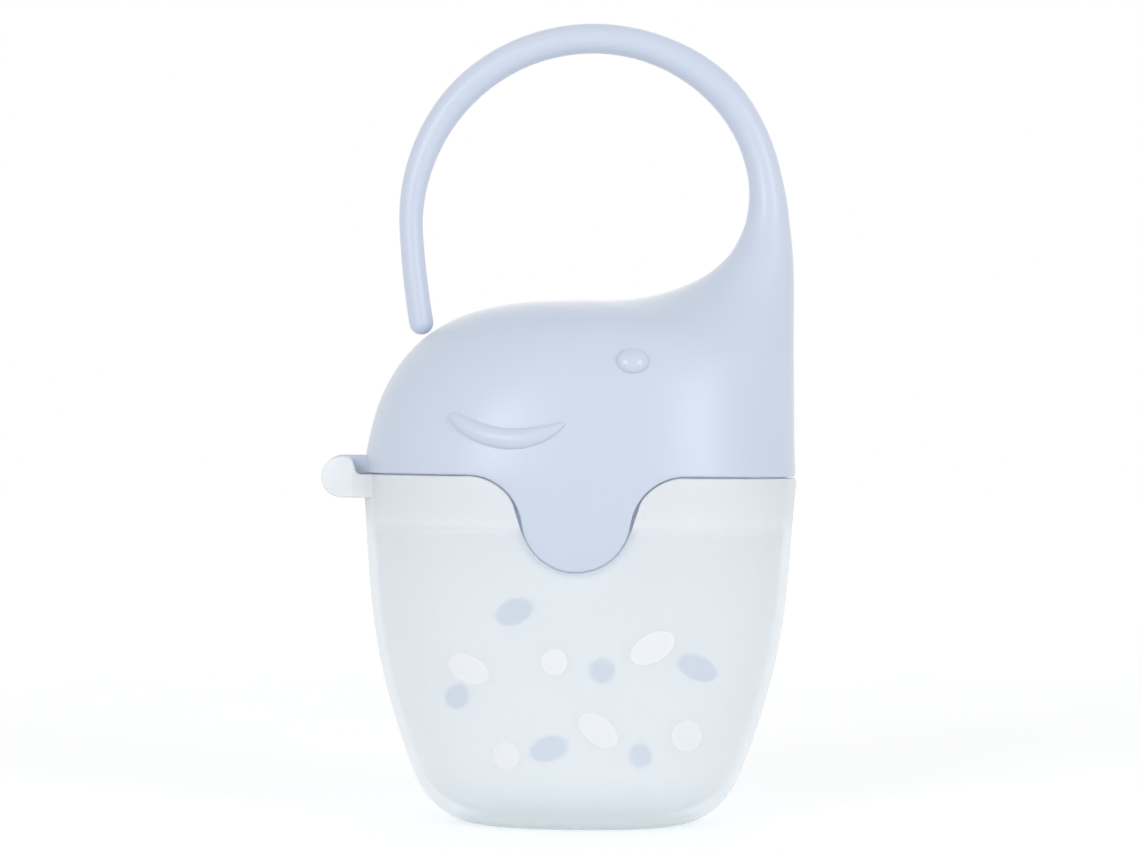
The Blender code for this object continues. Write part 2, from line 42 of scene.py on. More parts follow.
def hexColour(text):
    # sRGB hex to the linear colour that a shader takes
    values = [int(text[k:k + 2], 16) / 255 for k in (1, 3, 5)]
    linear = [v / 12.92 if v <= 0.04045 else ((v + 0.055) / 1.055) ** 2.4 for v in values]
    return (*linear, 1.0)


def addNode(tree, kind, settings=None, values=None, links=None):
    # one node with its settings, its sockets' values and what feeds them
    node = tree.nodes.new(kind)
    for name, value in (settings or {}).items():
        setattr(node, name, value)
    for name, value in (values or {}).items():
        node.inputs[name].default_value = value
    for name, socket in (links or {}).items():
        tree.links.new(socket, node.inputs[name])
    return node


def combine(tree, operation, first, second):
    # a Math node on two sockets
    return addNode(tree, "ShaderNodeMath", {"operation": operation}, None,
                   {0: first, 1: second}).outputs[0]


def seenDirectly(tree):
    # 1 for what the camera sees, straight, through clear plastic or in a reflection
    rays = addNode(tree, "ShaderNodeLightPath").outputs
    seen = combine(tree, "MAXIMUM", rays["Is Camera Ray"], rays["Is Transmission Ray"])
    return combine(tree, "MAXIMUM", seen, rays["Is Glossy Ray"])


def mixColours(tree, share, first, second):
    # from one hex colour to another
    mix = addNode(tree, "ShaderNodeMix", {"data_type": "RGBA"},
                  {"A": hexColour(first), "B": hexColour(second)}, {"Factor": share})
    return mix.outputs["Result"]


def mixOver(tree, share, under, colour):
    # a hex colour over what is already there
    mix = addNode(tree, "ShaderNodeMix", {"data_type": "RGBA"}, {"B": hexColour(colour)},
                  {"Factor": share, "A": under})
    return mix.outputs["Result"]


def newMaterial(name):
    material = bpy.data.materials.new(name)
    material.use_nodes = True
    material.node_tree.nodes.clear()
    return material, material.node_tree


def deselect():
    bpy.ops.object.select_all(action="DESELECT")


def editMode():
    bpy.ops.object.mode_set(mode="EDIT")


def objectMode():
    bpy.ops.object.mode_set(mode="OBJECT")


def through(rows, index, t):
    # smooth curve through rows of numbers, between the rows at index and index + 1
    last = len(rows) - 1
    near = [rows[min(max(index + k, 0), last)] for k in (-1, 0, 1, 2)]
    return [
        b + 0.5 * t * (c - a + t * (2 * a - 5 * b + 4 * c - d + t * (3 * (b - c) + d - a)))
        for a, b, c, d in zip(*near)
    ]


def bezier(a, b, c, d, t):
    s = 1 - t
    return a * s ** 3 + 3 * b * s * s * t + 3 * c * s * t * t + d * t ** 3


def addRing(middle, across, along, power, points):
    # a circle turned and sized to a section, its points pulled out to a squarish oval
    bpy.ops.mesh.primitive_circle_add(vertices=points, radius=1)
    ring = bpy.context.object
    for vert in ring.data.vertices:
        vert.co.x = math.copysign(abs(vert.co.x) ** (2 / power), vert.co.x)
        vert.co.y = math.copysign(abs(vert.co.y) ** (2 / power), vert.co.y)
    turn = Matrix((across, along, across.cross(along).normalized())).transposed().to_4x4()
    ring.matrix_world = Matrix.Translation(middle) @ turn
    bpy.ops.object.transform_apply(location=True, rotation=True, scale=True)
    return ring


def spanRing(left, right, halfDepth, power, points):
    # a section from its left edge to its right edge, as deep as it is told
    return addRing((left + right) / 2, (right - left) / 2, Vector((0, halfDepth, 0)), power, points)


def joinRings(rings, name, closed=False):
    # rings joined in the order they were added, and bridged pair by pair
    points = len(rings[0].data.vertices)
    deselect()
    for ring in rings:
        ring.select_set(True)
    bpy.context.view_layer.objects.active = rings[0]
    bpy.ops.object.join()
    piece = bpy.context.object
    piece.name = piece.data.name = name
    for k in range(len(rings) - 1):
        pickRange(piece, [(k * points, (k + 2) * points)])
        bpy.ops.mesh.bridge_edge_loops()
        objectMode()
    if closed:
        pickRange(piece, [(0, points), ((len(rings) - 1) * points, len(rings) * points)])
        bpy.ops.mesh.bridge_edge_loops()
        objectMode()
    return piece


def pickRange(piece, ranges):
    # leaves the piece in edit mode with the points of these ranges selected
    mesh = piece.data
    mesh.polygons.foreach_set("select", [False] * len(mesh.polygons))
    mesh.edges.foreach_set("select", [False] * len(mesh.edges))
    wanted = [False] * len(mesh.vertices)
    for start, end in ranges:
        wanted[start:end] = [True] * (end - start)
    mesh.vertices.foreach_set("select", wanted)
    bpy.context.tool_settings.mesh_select_mode = (True, False, False)
    editMode()


def pickVerts(piece, wanted):
    # the same with the points that a test picks
    runs = [(v.index, v.index + 1) for v in piece.data.vertices if wanted(v)]
    pickRange(piece, runs)


def makeActive(piece):
    deselect()
    piece.select_set(True)
    bpy.context.view_layer.objects.active = piece


def closeHoles(piece):
    # flat faces over the open ends, and all normals outwards
    makeActive(piece)
    pickRange(piece, [])
    bpy.ops.mesh.select_non_manifold(extend=False)
    bpy.ops.mesh.edge_face_add()
    outwards()
    objectMode()


def outwards():
    bpy.ops.mesh.select_all(action="SELECT")
    bpy.ops.mesh.normals_make_consistent(inside=False)


def bevelSharp(piece, width, segments, test=None):
    # rounds the edges sharper than 60 degrees, or those of them that pass a test
    makeActive(piece)
    pickRange(piece, [])
    bpy.ops.mesh.select_mode(type="EDGE")
    bpy.ops.mesh.edges_select_sharp(sharpness=math.radians(60))
    if test:
        objectMode()
        verts = piece.data.vertices
        for edge in piece.data.edges:
            if edge.select:
                middle = (verts[edge.vertices[0]].co + verts[edge.vertices[1]].co) / 2
                edge.select = test(middle)
        editMode()
    bpy.ops.mesh.bevel(offset=width, segments=segments, affect="EDGES")
    objectMode()


def cutOrJoin(piece, other, operation):
    # Boolean with another object, which is used up
    makeActive(piece)
    modifier = piece.modifiers.new(other.name, "BOOLEAN")
    modifier.object = other
    modifier.operation = operation
    modifier.solver = "EXACT"
    bpy.ops.object.modifier_apply(modifier=modifier.name)
    bpy.data.objects.remove(other, do_unlink=True)


def smooth(piece):
    makeActive(piece)
    bpy.ops.object.shade_smooth_by_angle(angle=math.radians(32))


# Camera, light and floor
view = {
    "place": (-0.00178, -0.650, 0.0684),   # metres, level with the head's lower part
    "lens": 117.8,                         # millimetres
    "sensor": 36,                          # millimetres wide
    "roll": -0.6,                          # degrees
}

bpy.ops.object.camera_add(
    location=view["place"], rotation=(math.radians(90), math.radians(view["roll"]), 0))
camera = bpy.context.object
camera.data.lens = view["lens"]
camera.data.sensor_width = view["sensor"]
bpy.context.scene.camera = camera
bpy.context.scene.view_settings.view_transform = "Standard"

studio = {
    "fill": (0.52, 0.92),                  # surroundings overhead and level with the box
    "behind": 0.45,                        # how much brighter they are behind it than in front
    "lamps": {                             # place, width and height in metres, watts
        "leftBox": ((-0.52, -1.08, 0.38), (0.38, 0.46), 3.2),
        "rightBox": ((0.80, -0.90, 0.34), (0.38, 0.46), 2.8),
    },
    "aim": (0, 0, 0.07),
    "floorSize": 6.0,
    "floorDrop": 0.0001,                   # the floor lies this far below the base
    "paper": ("#F1F2F3", "#F4F5F5"),
    "paperGrain": 220.0,                   # clouds to the metre
    "floorLift": (0.30, 0.42),             # what makes the paper white, near the box and far away
    "liftRange": (0.1, 1.2),               # how near and how far, in metres
}

world = bpy.data.worlds.new("paleStudio")
bpy.context.scene.world = world
world.use_nodes = True
tree = world.node_tree
tree.nodes.clear()
sky = addNode(tree, "ShaderNodeTexCoord").outputs["Generated"]
way = addNode(tree, "ShaderNodeSeparateXYZ", None, None, {0: sky}).outputs
fill = addNode(tree, "ShaderNodeMapRange", {"interpolation_type": "SMOOTHSTEP"}, {
    "From Min": 0.0, "From Max": 0.9, "To Min": studio["fill"][1], "To Max": studio["fill"][0]},
    {"Value": way["Z"]})
behind = addNode(tree, "ShaderNodeMapRange", {"interpolation_type": "SMOOTHSTEP"}, {
    "From Min": -0.2, "From Max": 0.9, "To Min": 1.0, "To Max": 1.0 + studio["behind"]},
    {"Value": way["Y"]})
fill = combine(tree, "MULTIPLY", fill.outputs["Result"], behind.outputs["Result"])
# the camera sees them plain white
strength = addNode(tree, "ShaderNodeMix", {"data_type": "FLOAT"}, {"B": 1.0},
                   {"Factor": seenDirectly(tree), "A": fill})
surround = addNode(tree, "ShaderNodeBackground", None, {"Color": hexColour("#FFFFFF")},
                   {"Strength": strength.outputs["Result"]})
addNode(tree, "ShaderNodeOutputWorld", None, None, {"Surface": surround.outputs[0]})

for name, (place, size, watts) in studio["lamps"].items():
    bpy.ops.object.light_add(type="AREA", location=place)
    lamp = bpy.context.object
    lamp.name = name
    lamp.data.shape = "RECTANGLE"
    lamp.data.size, lamp.data.size_y = size
    lamp.data.energy = watts
    aim = Vector(studio["aim"]) - Vector(place)
    lamp.rotation_euler = aim.to_track_quat("-Z", "Y").to_euler()

bpy.ops.mesh.primitive_plane_add(
    size=studio["floorSize"], location=(0, 0, -studio["floorDrop"]))
floor = bpy.context.object
floor.name = "floor"

# Matt white paper, uncoated: white, with a soft shadow
paper, tree = newMaterial("mattPaperFloor")
floor.data.materials.append(paper)
grain = addNode(tree, "ShaderNodeTexNoise", None, {"Scale": studio["paperGrain"], "Detail": 2.0})
tone = mixColours(tree, grain.outputs["Fac"], *studio["paper"])
matt = addNode(tree, "ShaderNodeBsdfDiffuse", None, None, {"Color": tone})
away = addNode(tree, "ShaderNodeVectorMath", {"operation": "LENGTH"}, None,
               {0: addNode(tree, "ShaderNodeTexCoord").outputs["Object"]})
white = addNode(tree, "ShaderNodeMapRange", {"interpolation_type": "SMOOTHSTEP"}, {
    "From Min": studio["liftRange"][0], "From Max": studio["liftRange"][1],
    "To Min": studio["floorLift"][0], "To Max": studio["floorLift"][1]},
    {"Value": away.outputs["Value"]})
lift = combine(tree, "MULTIPLY", seenDirectly(tree), white.outputs["Result"])
glow = addNode(tree, "ShaderNodeEmission", None, None, {"Strength": lift})
both = addNode(tree, "ShaderNodeAddShader", None, None, {0: matt.outputs[0], 1: glow.outputs[0]})
addNode(tree, "ShaderNodeOutputMaterial", None, None, {"Surface": both.outputs[0]})
print("camera, light and floor set")


lidShape = {
    "halfWidth": 0.03745,
    "halfDepth": 0.02475,
    "bottom": 0.0603,
    "height": 0.0304,
    "wall": 0.0016,
    "tabWall": 0.0022,
    "power": 2.3,              # 2 is an ellipse, more is squarer
    "points": 240,
    "edge": 0.00028,           # rounding of the lower edge
    # left edge across and up, right edge across and up, depth, as shares
    "head": [
        (-0.999, 0.000, 1.001, 0.000, 1.000),
        (-0.990, 0.125, 1.000, 0.053, 0.996),
        (-0.960, 0.297, 0.997, 0.135, 0.984),
        (-0.911, 0.470, 0.995, 0.220, 0.964),
        (-0.827, 0.644, 0.994, 0.312, 0.931),
        (-0.703, 0.795, 0.993, 0.397, 0.891),
        (-0.525, 0.912, 0.992, 0.479, 0.835),
        (-0.304, 0.977, 0.991, 0.558, 0.766),
        (-0.080, 0.997, 0.990, 0.631, 0.685),
        (0.134, 1.000, 0.989, 0.713, 0.593),
    ],
    # from the head up into the trunk, as shares of the way
    "sweep": [
        (0.28, 0.05, 0.02, 0.13, 0.21),
        (0.54, 0.18, 0.04, 0.30, 0.46),
        (0.74, 0.36, 0.08, 0.50, 0.68),
        (0.905, 0.64, 0.28, 0.73, 0.85),
    ],
    "headSteps": 4,            # rows for each pair of shares
    "tabRows": 8,              # rows that are drawn down into the tabs, over the first two pairs
    "innerTop": 11,            # the hollow ends at this row of shares
    "lipInset": (0.0019, 0.0031),
    "lipPast": 0.0012,         # how far the lip reaches past the tab's edge behind the cup's wall
    "lipLow": 0.0509,
    "lipRows": (0.0540, 0.0570, 0.0603),
    "lipHigh": 0.0617,
    "lipLap": 0.0005,          # the lip's top end goes this far into the head's wall
    "lipDrawn": 0.0535,        # only the rows below this are drawn down behind the tab
}

hookShape = {
    "centre": Vector((0.00161, 0, 0.1045)),
    "radius": 0.03161,
    "rod": 0.0053,
    # degrees from the right, radius share, rod share
    "arc": [
        (0, 0.970, 1.440),
        (6, 0.976, 1.260),
        (14, 0.984, 1.110),
        (30, 1.001, 1.070),
        (45, 1.012, 1.110),
        (75, 1.006, 1.000),
        (105, 1.001, 0.985),
        (135, 0.998, 0.985),
        (160, 0.994, 0.880),
        (184, 0.996, 0.765),
    ],
    "arcStep": 22,             # the sweep into the arc looks this share of it ahead
    "arcRows": 46,
    "tailRadius": 0.160,
    "tailTurn": 5.73,          # degrees
    "tailRod": 0.80,
    "tailRows": 8,
    "tipRows": 7,
}


cupShape = {
    "rim": (0.0377, 0.0250),       # half width and half depth
    "rimHeight": 0.0600,
    "heel": (0.02855, 0.0216),
    "heelHeight": 0.0090,
    "base": (0.0175, 0.0161),
    "wall": 0.0015,
    "floor": 0.0020,
    "rimRound": 0.00045,
    "rimSlopes": (0.085, 0.05),
    "heelSlopes": (0.38, 0.17),
    "handles": (0.44, 0.36),
    "corner": 0.5,
    "power": 2.3,
    "points": 240,
    "lidSetIn": 0.00025,           # the tabs' faces lie this far inside the cup's outside
    "notchFrom": 0.0360,
    "notchRows": 10,
    "rowsBelow": (14, 22),         # rows over the rounded foot and over the whole wall
}

tabShape = {
    "offset": -0.0006,
    "radius": 0.0092,
    "fillet": 0.0095,
    "reach": 0.01625,
    "gap": 0.0002,                       # between the tab and its notch
    "slit": (0.00042, 0.0098, 0.0014),   # extra gap, how far from the middle, how long
}


def cupRows(cornerRows, wallRows):
    # height, half width and half depth of the cup's outside, from the base to the rim
    c, rows = cupShape, []
    for k in range(cornerRows + 1):
        t, h = k / cornerRows, c["heelHeight"]
        row = [bezier(0, 0, h * c["corner"], h, t)]
        for base, heel, slope in zip(c["base"], c["heel"], c["heelSlopes"]):
            handle = (heel - base) * c["corner"]
            row.append(bezier(base, base + handle, heel - slope * h * c["corner"], heel, t))
        rows.append(row)
    tall = c["rimHeight"] - c["heelHeight"]
    rise, drop = (tall * share for share in c["handles"])
    for k in range(1, wallRows + 1):
        t = k / wallRows
        row = [bezier(c["heelHeight"], c["heelHeight"] + rise, c["rimHeight"] - drop,
                      c["rimHeight"], t)]
        slopes = zip(c["heel"], c["rim"], c["heelSlopes"], c["rimSlopes"])
        for heel, rim, low, high in slopes:
            row.append(bezier(heel, heel + low * rise, rim - high * drop, rim, t))
        rows.append(row)
    return rows


fineCup = cupRows(80, 400)     # fine enough to look sizes up in


def cupAt(height):
    # half width and half depth of the cup's outside, its slope carried on above the rim
    for low, high in zip(fineCup, fineCup[1:]):
        if height <= high[0]:
            t = (height - low[0]) / (high[0] - low[0])
            return [a + (b - a) * t for a, b in zip(low[1:], high[1:])]
    past = height - cupShape["rimHeight"]
    return [size + slope * past for size, slope in zip(cupShape["rim"], cupShape["rimSlopes"])]


def ovalDepth(x, halfWidth, halfDepth, power):
    return halfDepth * max(1 - abs(x / halfWidth) ** power, 0) ** (1 / power)


def tabOutline(clearance):
    # the tab's edge from one fillet to the other, as points an even way apart
    t = tabShape
    high = lidShape["bottom"]
    big, small = t["radius"] + clearance, t["fillet"] - clearance
    lowZ, highZ = high - t["reach"] + t["radius"], high - t["fillet"]
    apart = big + small
    side = math.sqrt(apart ** 2 - (lowZ - highZ) ** 2)
    lean = math.degrees(math.asin((lowZ - highZ) / apart))
    arcs = [
        (t["offset"] - side, highZ, small, 90, lean),
        (t["offset"], lowZ, big, 180 + lean, 360 - lean),
        (t["offset"] + side, highZ, small, 180 - lean, 90),
    ]
    points = []
    for x, z, radius, start, end in arcs:
        for k in range(201):
            turn = math.radians(start + (end - start) * k / 200)
            points.append(Vector((x + radius * math.cos(turn), 0, z + radius * math.sin(turn))))
    lengths = [0]
    for a, b in zip(points, points[1:]):
        lengths.append(lengths[-1] + (b - a).length)
    return points, lengths


def alongOutline(outline, share):
    points, lengths = outline
    wanted = share * lengths[-1]
    for k in range(len(points) - 1):
        if wanted <= lengths[k + 1]:
            break
    step = max(lengths[k + 1] - lengths[k], 1e-9)
    return points[k].lerp(points[k + 1], (wanted - lengths[k]) / step)


def headSection(s):
    # left edge, right edge, depth and power of the head at a place along its rows of shares
    index = min(int(s), len(lidShape["head"]) - 2)
    lx, lz, rx, rz, depth = through(lidShape["head"], index, s - index)
    w, h = lidShape["halfWidth"], lidShape["height"]
    left = Vector((lx * w, 0, lidShape["bottom"] + lz * h))
    right = Vector((rx * w, 0, lidShape["bottom"] + rz * h))
    power = lidShape["power"] - (lidShape["power"] - 2) * s / (len(lidShape["head"]) - 1)
    return left, right, depth * lidShape["halfDepth"], power


def headDepth(x, z):
    # how far the head's front is from the middle, at the head's low part or on a tab
    if z <= lidShape["bottom"]:
        width, depth = (size - cupShape["lidSetIn"] for size in cupAt(z))
        return ovalDepth(x, width, depth, lidShape["power"])
    low, high = 0.0, 4.0
    for k in range(24):
        s = (low + high) / 2
        left, right, depth, power = headSection(s)
        here = left.z + (right.z - left.z) * (x - left.x) / (right.x - left.x)
        low, high = (s, high) if here < z else (low, s)
    return ovalDepth(x - (left.x + right.x) / 2, (right.x - left.x) / 2, depth, power)


def hookSection(angle):
    rows = hookShape["arc"]
    for index in range(len(rows) - 1):
        if angle <= rows[index + 1][0]:
            break
    t = (angle - rows[index][0]) / (rows[index + 1][0] - rows[index][0])
    _, radius, rod = through(rows, index, t)
    out = Vector((math.cos(math.radians(angle)), 0, math.sin(math.radians(angle))))
    return out, hookShape["radius"] * radius, hookShape["rod"] / 2 * rod


def lidSections():
    # left edge, right edge, depth and power of every row from the seam to the hook's tip
    rows, steps = [], lidShape["headSteps"]
    for k in range(lidShape["tabRows"]):
        rows.append(headSection(2 * k / lidShape["tabRows"]))
    for k in range(2 * steps, steps * (len(lidShape["head"]) - 1)):
        rows.append(headSection(k / steps))
    end, centre = lidShape["head"][-1], hookShape["centre"]
    left, right, depth, _ = headSection(len(lidShape["head"]) - 1)
    out, radius, half = hookSection(0)
    toLeft, toRight = centre + out * (radius - half) - left, centre + out * (radius + half) - right
    chain = [(left.x, left.z, right.x, right.z, depth)]
    for lx, lz, rx, rz, share in lidShape["sweep"]:
        chain.append((left.x + toLeft.x * lx, left.z + toLeft.z * lz, right.x + toRight.x * rx,
                      right.z + toRight.z * rz, depth + (half - depth) * share))
    before = headSection(len(lidShape["head"]) - 2)
    chain.insert(0, (before[0].x, before[0].z, before[1].x, before[1].z, before[2]))
    last = hookShape["arc"][-1][0]
    for angle in (0, last / hookShape["arcStep"]):
        out, radius, half = hookSection(angle)
        a, b = centre + out * (radius - half), centre + out * (radius + half)
        chain.append((a.x, a.z, b.x, b.z, half))
    for index in range(1, len(chain) - 2):
        for k in range(steps):
            lx, lz, rx, rz, depth = through(chain, index, k / steps)
            rows.append((Vector((lx, 0, lz)), Vector((rx, 0, rz)), depth, 2.0))
    for k in range(hookShape["arcRows"] + 1):
        out, radius, half = hookSection(last * k / hookShape["arcRows"])
        rows.append((centre + out * (radius - half), centre + out * (radius + half), half, 2.0))
    pivot = centre + out * (radius - hookShape["tailRadius"])
    tip = hookShape["rod"] / 2 * hookShape["tailRod"]
    for k in range(1, hookShape["tailRows"] + 1):
        share = k / hookShape["tailRows"]
        turn = math.radians(last + hookShape["tailTurn"] * share)
        out = Vector((math.cos(turn), 0, math.sin(turn)))
        place, thick = pivot + out * hookShape["tailRadius"], half + (tip - half) * share
        rows.append((place - out * thick, place + out * thick, thick, 2.0))
    onward = Vector((-out.z, 0, out.x))
    for k in range(1, hookShape["tipRows"] + 1):
        turn = math.pi / 2 * k / (hookShape["tipRows"] + 1)
        here, thick = place + onward * tip * math.sin(turn), tip * math.cos(turn)
        rows.append((here - out * thick, here + out * thick, thick, 2.0))
    return rows, place + onward * tip


def drawDown(ring, rowShare):
    # pulls the middle of a low row down towards the tab's edge, on the front and the back
    outline = tabOutline(0)
    start, end = outline[0][0].x, outline[0][-1].x
    low, high = headSection(0), headSection(2)
    row = headSection(2 * rowShare)
    for vert in ring.data.vertices:
        across = (vert.co.x - row[0].x) / (row[1].x - row[0].x)
        seamX = low[0].x + (low[1].x - low[0].x) * across
        if start < seamX < end:
            edge = alongOutline(outline, (seamX - start) / (end - start))
            top = high[0].lerp(high[1], across)
            place = edge.lerp(top, rowShare)
            side = math.copysign(1, vert.co.y)
            vert.co = (place.x, side * headDepth(place.x, place.z), place.z)


def lidShell():
    sections, tip = lidSections()
    points, tabRows = lidShape["points"], lidShape["tabRows"]
    rings = []
    for k, section in enumerate(sections):
        rings.append(spanRing(*section, points))
        if k < tabRows:
            drawDown(rings[-1], k / tabRows)
    lid = joinRings(rings, "lidBody")
    # the hook's tip is drawn to a pole
    pickRange(lid, [((len(rings) - 1) * points, len(rings) * points)])
    bpy.ops.mesh.extrude_region_move()
    bpy.ops.mesh.merge(type="CENTER")
    outwards()
    objectMode()
    pole = min(lid.data.vertices, key=lambda v: (v.co - tip).length)
    pole.co = tip
    # the inside of the head is a copy of its low rows, moved in by the wall
    innerRows = tabRows + (lidShape["innerTop"] - 2) * lidShape["headSteps"] + 1
    outer = len(lid.data.vertices)
    pickRange(lid, [(0, innerRows * points)])
    bpy.ops.mesh.duplicate()
    bpy.ops.transform.shrink_fatten(value=-lidShape["wall"])
    bpy.ops.mesh.flip_normals()
    objectMode()
    # the tabs' inside, up to just over the seam, is moved in further
    tabTop = lidShape["bottom"] + 0.0008
    pickVerts(lid, lambda v: v.index >= outer and v.co.z < tabTop)
    bpy.ops.transform.shrink_fatten(value=lidShape["tabWall"] - lidShape["wall"])
    objectMode()
    pickRange(lid, [(0, points), (outer, outer + points)])
    bpy.ops.mesh.bridge_edge_loops()
    objectMode()
    bevelSharp(lid, lidShape["edge"], 3)
    closeHoles(lid)
    return lid


def cupOval(height, inset, points):
    width, depth = cupAt(height)
    left, right = Vector((inset - width, 0, height)), Vector((width - inset, 0, height))
    return spanRing(left, right, depth - inset, cupShape["power"], points)


def pastTab(ring, inset):
    # behind the tab the lip's lower edge is drawn down, a little past the tab's own
    centre = lidShape["bottom"] - tabShape["reach"] + tabShape["radius"]
    reach = tabShape["radius"] + lidShape["lipPast"]
    for vert in ring.data.vertices:
        aside = vert.co.x - tabShape["offset"]
        if abs(aside) < reach:
            down = centre - math.sqrt(reach ** 2 - aside ** 2) - lidShape["lipLow"]
            if down < 0:
                width, depth = (size - inset for size in cupAt(vert.co.z + down))
                side = math.copysign(1, vert.co.y)
                vert.co.z += down
                vert.co.y = side * ovalDepth(vert.co.x, width, depth, cupShape["power"])


def lidLip():
    # the lip follows the cup's inside, with a rounded lower edge
    low, high = lidShape["lipLow"], lidShape["lipHigh"]
    out, into = lidShape["lipInset"]
    r = (into - out) / 4
    rows = [(high, out - lidShape["lipLap"])]
    rows += [(z, out) for z in reversed(lidShape["lipRows"])] + [(low + r, out)]
    for degrees in (30, 60, 90):
        turn = math.radians(degrees)
        rows.append((low + r - r * math.sin(turn), out + r - r * math.cos(turn)))
    for degrees in (90, 60, 30):
        turn = math.radians(degrees)
        rows.append((low + r - r * math.sin(turn), into - r + r * math.cos(turn)))
    rows += [(z, into) for z in (low + r, *lidShape["lipRows"], high)]
    rings = []
    for z, inset in rows:
        rings.append(cupOval(z, inset, lidShape["points"]))
        if z < lidShape["lipDrawn"]:
            pastTab(rings[-1], inset)
    lip = joinRings(rings, "lip", closed=True)
    makeActive(lip)
    pickRange(lip, [])
    outwards()
    objectMode()
    return lip


hingeShape = {
    "axis": Vector((-0.0409, 0, 0.0595)),
    "knuckle": 0.0070,             # diameter
    "knuckleRise": 0.0003,
    "knuckleWidth": 0.0100,
    "webEnd": -0.03560,
    "webOver": 0.00006,            # the web runs this close over the cup's rim
    "webTop": 0.75,                # share of the knuckle's quarter that makes the web's level top
    "webSide": (9, 13.5),          # degrees that make its end: where that starts, and how many
    "bore": 0.0032,                # diameter
    "boreHalf": 0.010,             # half the length of what cuts the knuckle's
    "borePast": 0.003,             # how far what cuts the lugs' stands out at the back
    "lug": 0.0071,                 # diameter
    "lugWidth": 0.0040,
    "lugFrom": 0.00535,            # the lug's inner face, from the middle
    "lugRoots": (-0.0359, -0.0352),
    "lugTurn": (72, 270),          # degrees of the round end, over the left
    "lugEase": (0.38, 0.41),       # how full the S to the rim is, as shares of the lug's radius
    "lugSink": 0.00004,            # it meets the rim this far below the top
    "relief": 0.00385,             # radius cleared in the cup for the knuckle
    "blindWall": 0.0012,
    "edge": 0.00035,
}


def lidKnuckle():
    # a round bar on the hinge's axis, its upper right quarter pulled out to a level web
    h = hingeShape
    radius, centre = h["knuckle"] / 2, h["axis"] + Vector((0, 0, h["knuckleRise"]))
    bpy.ops.mesh.primitive_circle_add(
        vertices=96, radius=radius, fill_type="NGON",
        location=centre - Vector((0, h["knuckleWidth"] / 2, 0)), rotation=(math.pi / 2, 0, 0))
    knuckle = bpy.context.object
    bpy.ops.object.transform_apply(location=True, rotation=True, scale=True)
    floorZ = cupShape["rimHeight"] + h["webOver"]
    for vert in knuckle.data.vertices:
        x, z = vert.co.x - centre.x, vert.co.z - centre.z
        if x > 0 and vert.co.z > floorZ:
            turn = math.degrees(math.atan2(z, x))
            share = (90 - turn) / 90
            if share < h["webTop"]:
                vert.co.x = centre.x + (h["webEnd"] - centre.x) * share / h["webTop"]
                vert.co.z = centre.z + radius
            else:
                start, span = h["webSide"]
                vert.co.x = h["webEnd"]
                vert.co.z = floorZ + (centre.z + radius - floorZ) * max(turn - start, 0) / span
    makeActive(knuckle)
    pickVerts(knuckle, lambda v: True)
    bpy.ops.mesh.extrude_region_move(
        TRANSFORM_OT_translate={"value": (0, h["knuckleWidth"], 0)})
    outwards()
    objectMode()
    ends = h["knuckleWidth"] / 2 - 0.0001
    bevelSharp(knuckle, h["edge"], 3, lambda place: abs(place.y) > ends)
    return knuckle


faceShape = {
    "eye": (0.231, 0.639),         # place on the head, as shares of half width and height
    "eyeSize": (0.0054, 0.0045),
    "eyeRise": 0.00145,
    "smile": (-0.334, 0.202),
    "smileLength": 0.0189,
    "smileSag": 0.0032,
    "smileThick": 0.0036,
    "smileRise": 0.0011,
    "smileTilt": -3.5,             # degrees
    "smileTips": (0.30, 0.14),     # left and right, as shares of the thickness
    "smileFull": (0.50, 0.70),     # how soon each end reaches its full thickness, low is sooner
    "smileLow": 0.3,               # how high the tips are, as a share of the rise
}


def onHead(lid, x, z):
    # the place and normal of the head's front
    return lid.ray_cast(Vector((x, -0.1, z)), Vector((0, 1, 0)))[1:3]


def copyToBack(piece):
    # the same on the other side, as a mesh of its own
    other = piece.copy()
    other.data = piece.data.copy()
    bpy.context.collection.objects.link(other)
    other.data.transform(Matrix.Diagonal((1, -1, 1, 1)))
    makeActive(other)
    pickRange(other, [])
    outwards()
    objectMode()
    return other


def facePlace(across, up):
    # shares of the head's half width and height to a place on it
    return across * lidShape["halfWidth"], lidShape["bottom"] + up * lidShape["height"]


def eyeDome(lid):
    f = faceShape
    place, normal = onHead(lid, *facePlace(*f["eye"]))
    bpy.ops.mesh.primitive_uv_sphere_add(
        segments=64, ring_count=32, radius=f["eyeRise"], location=place,
        rotation=normal.to_track_quat("Z", "Y").to_euler())
    dome = bpy.context.object
    dome.name = "eyeDome"
    dome.scale = (f["eyeSize"][0] / 2 / f["eyeRise"], f["eyeSize"][1] / 2 / f["eyeRise"], 1)
    bpy.ops.object.transform_apply(location=True, rotation=True, scale=True)
    return dome


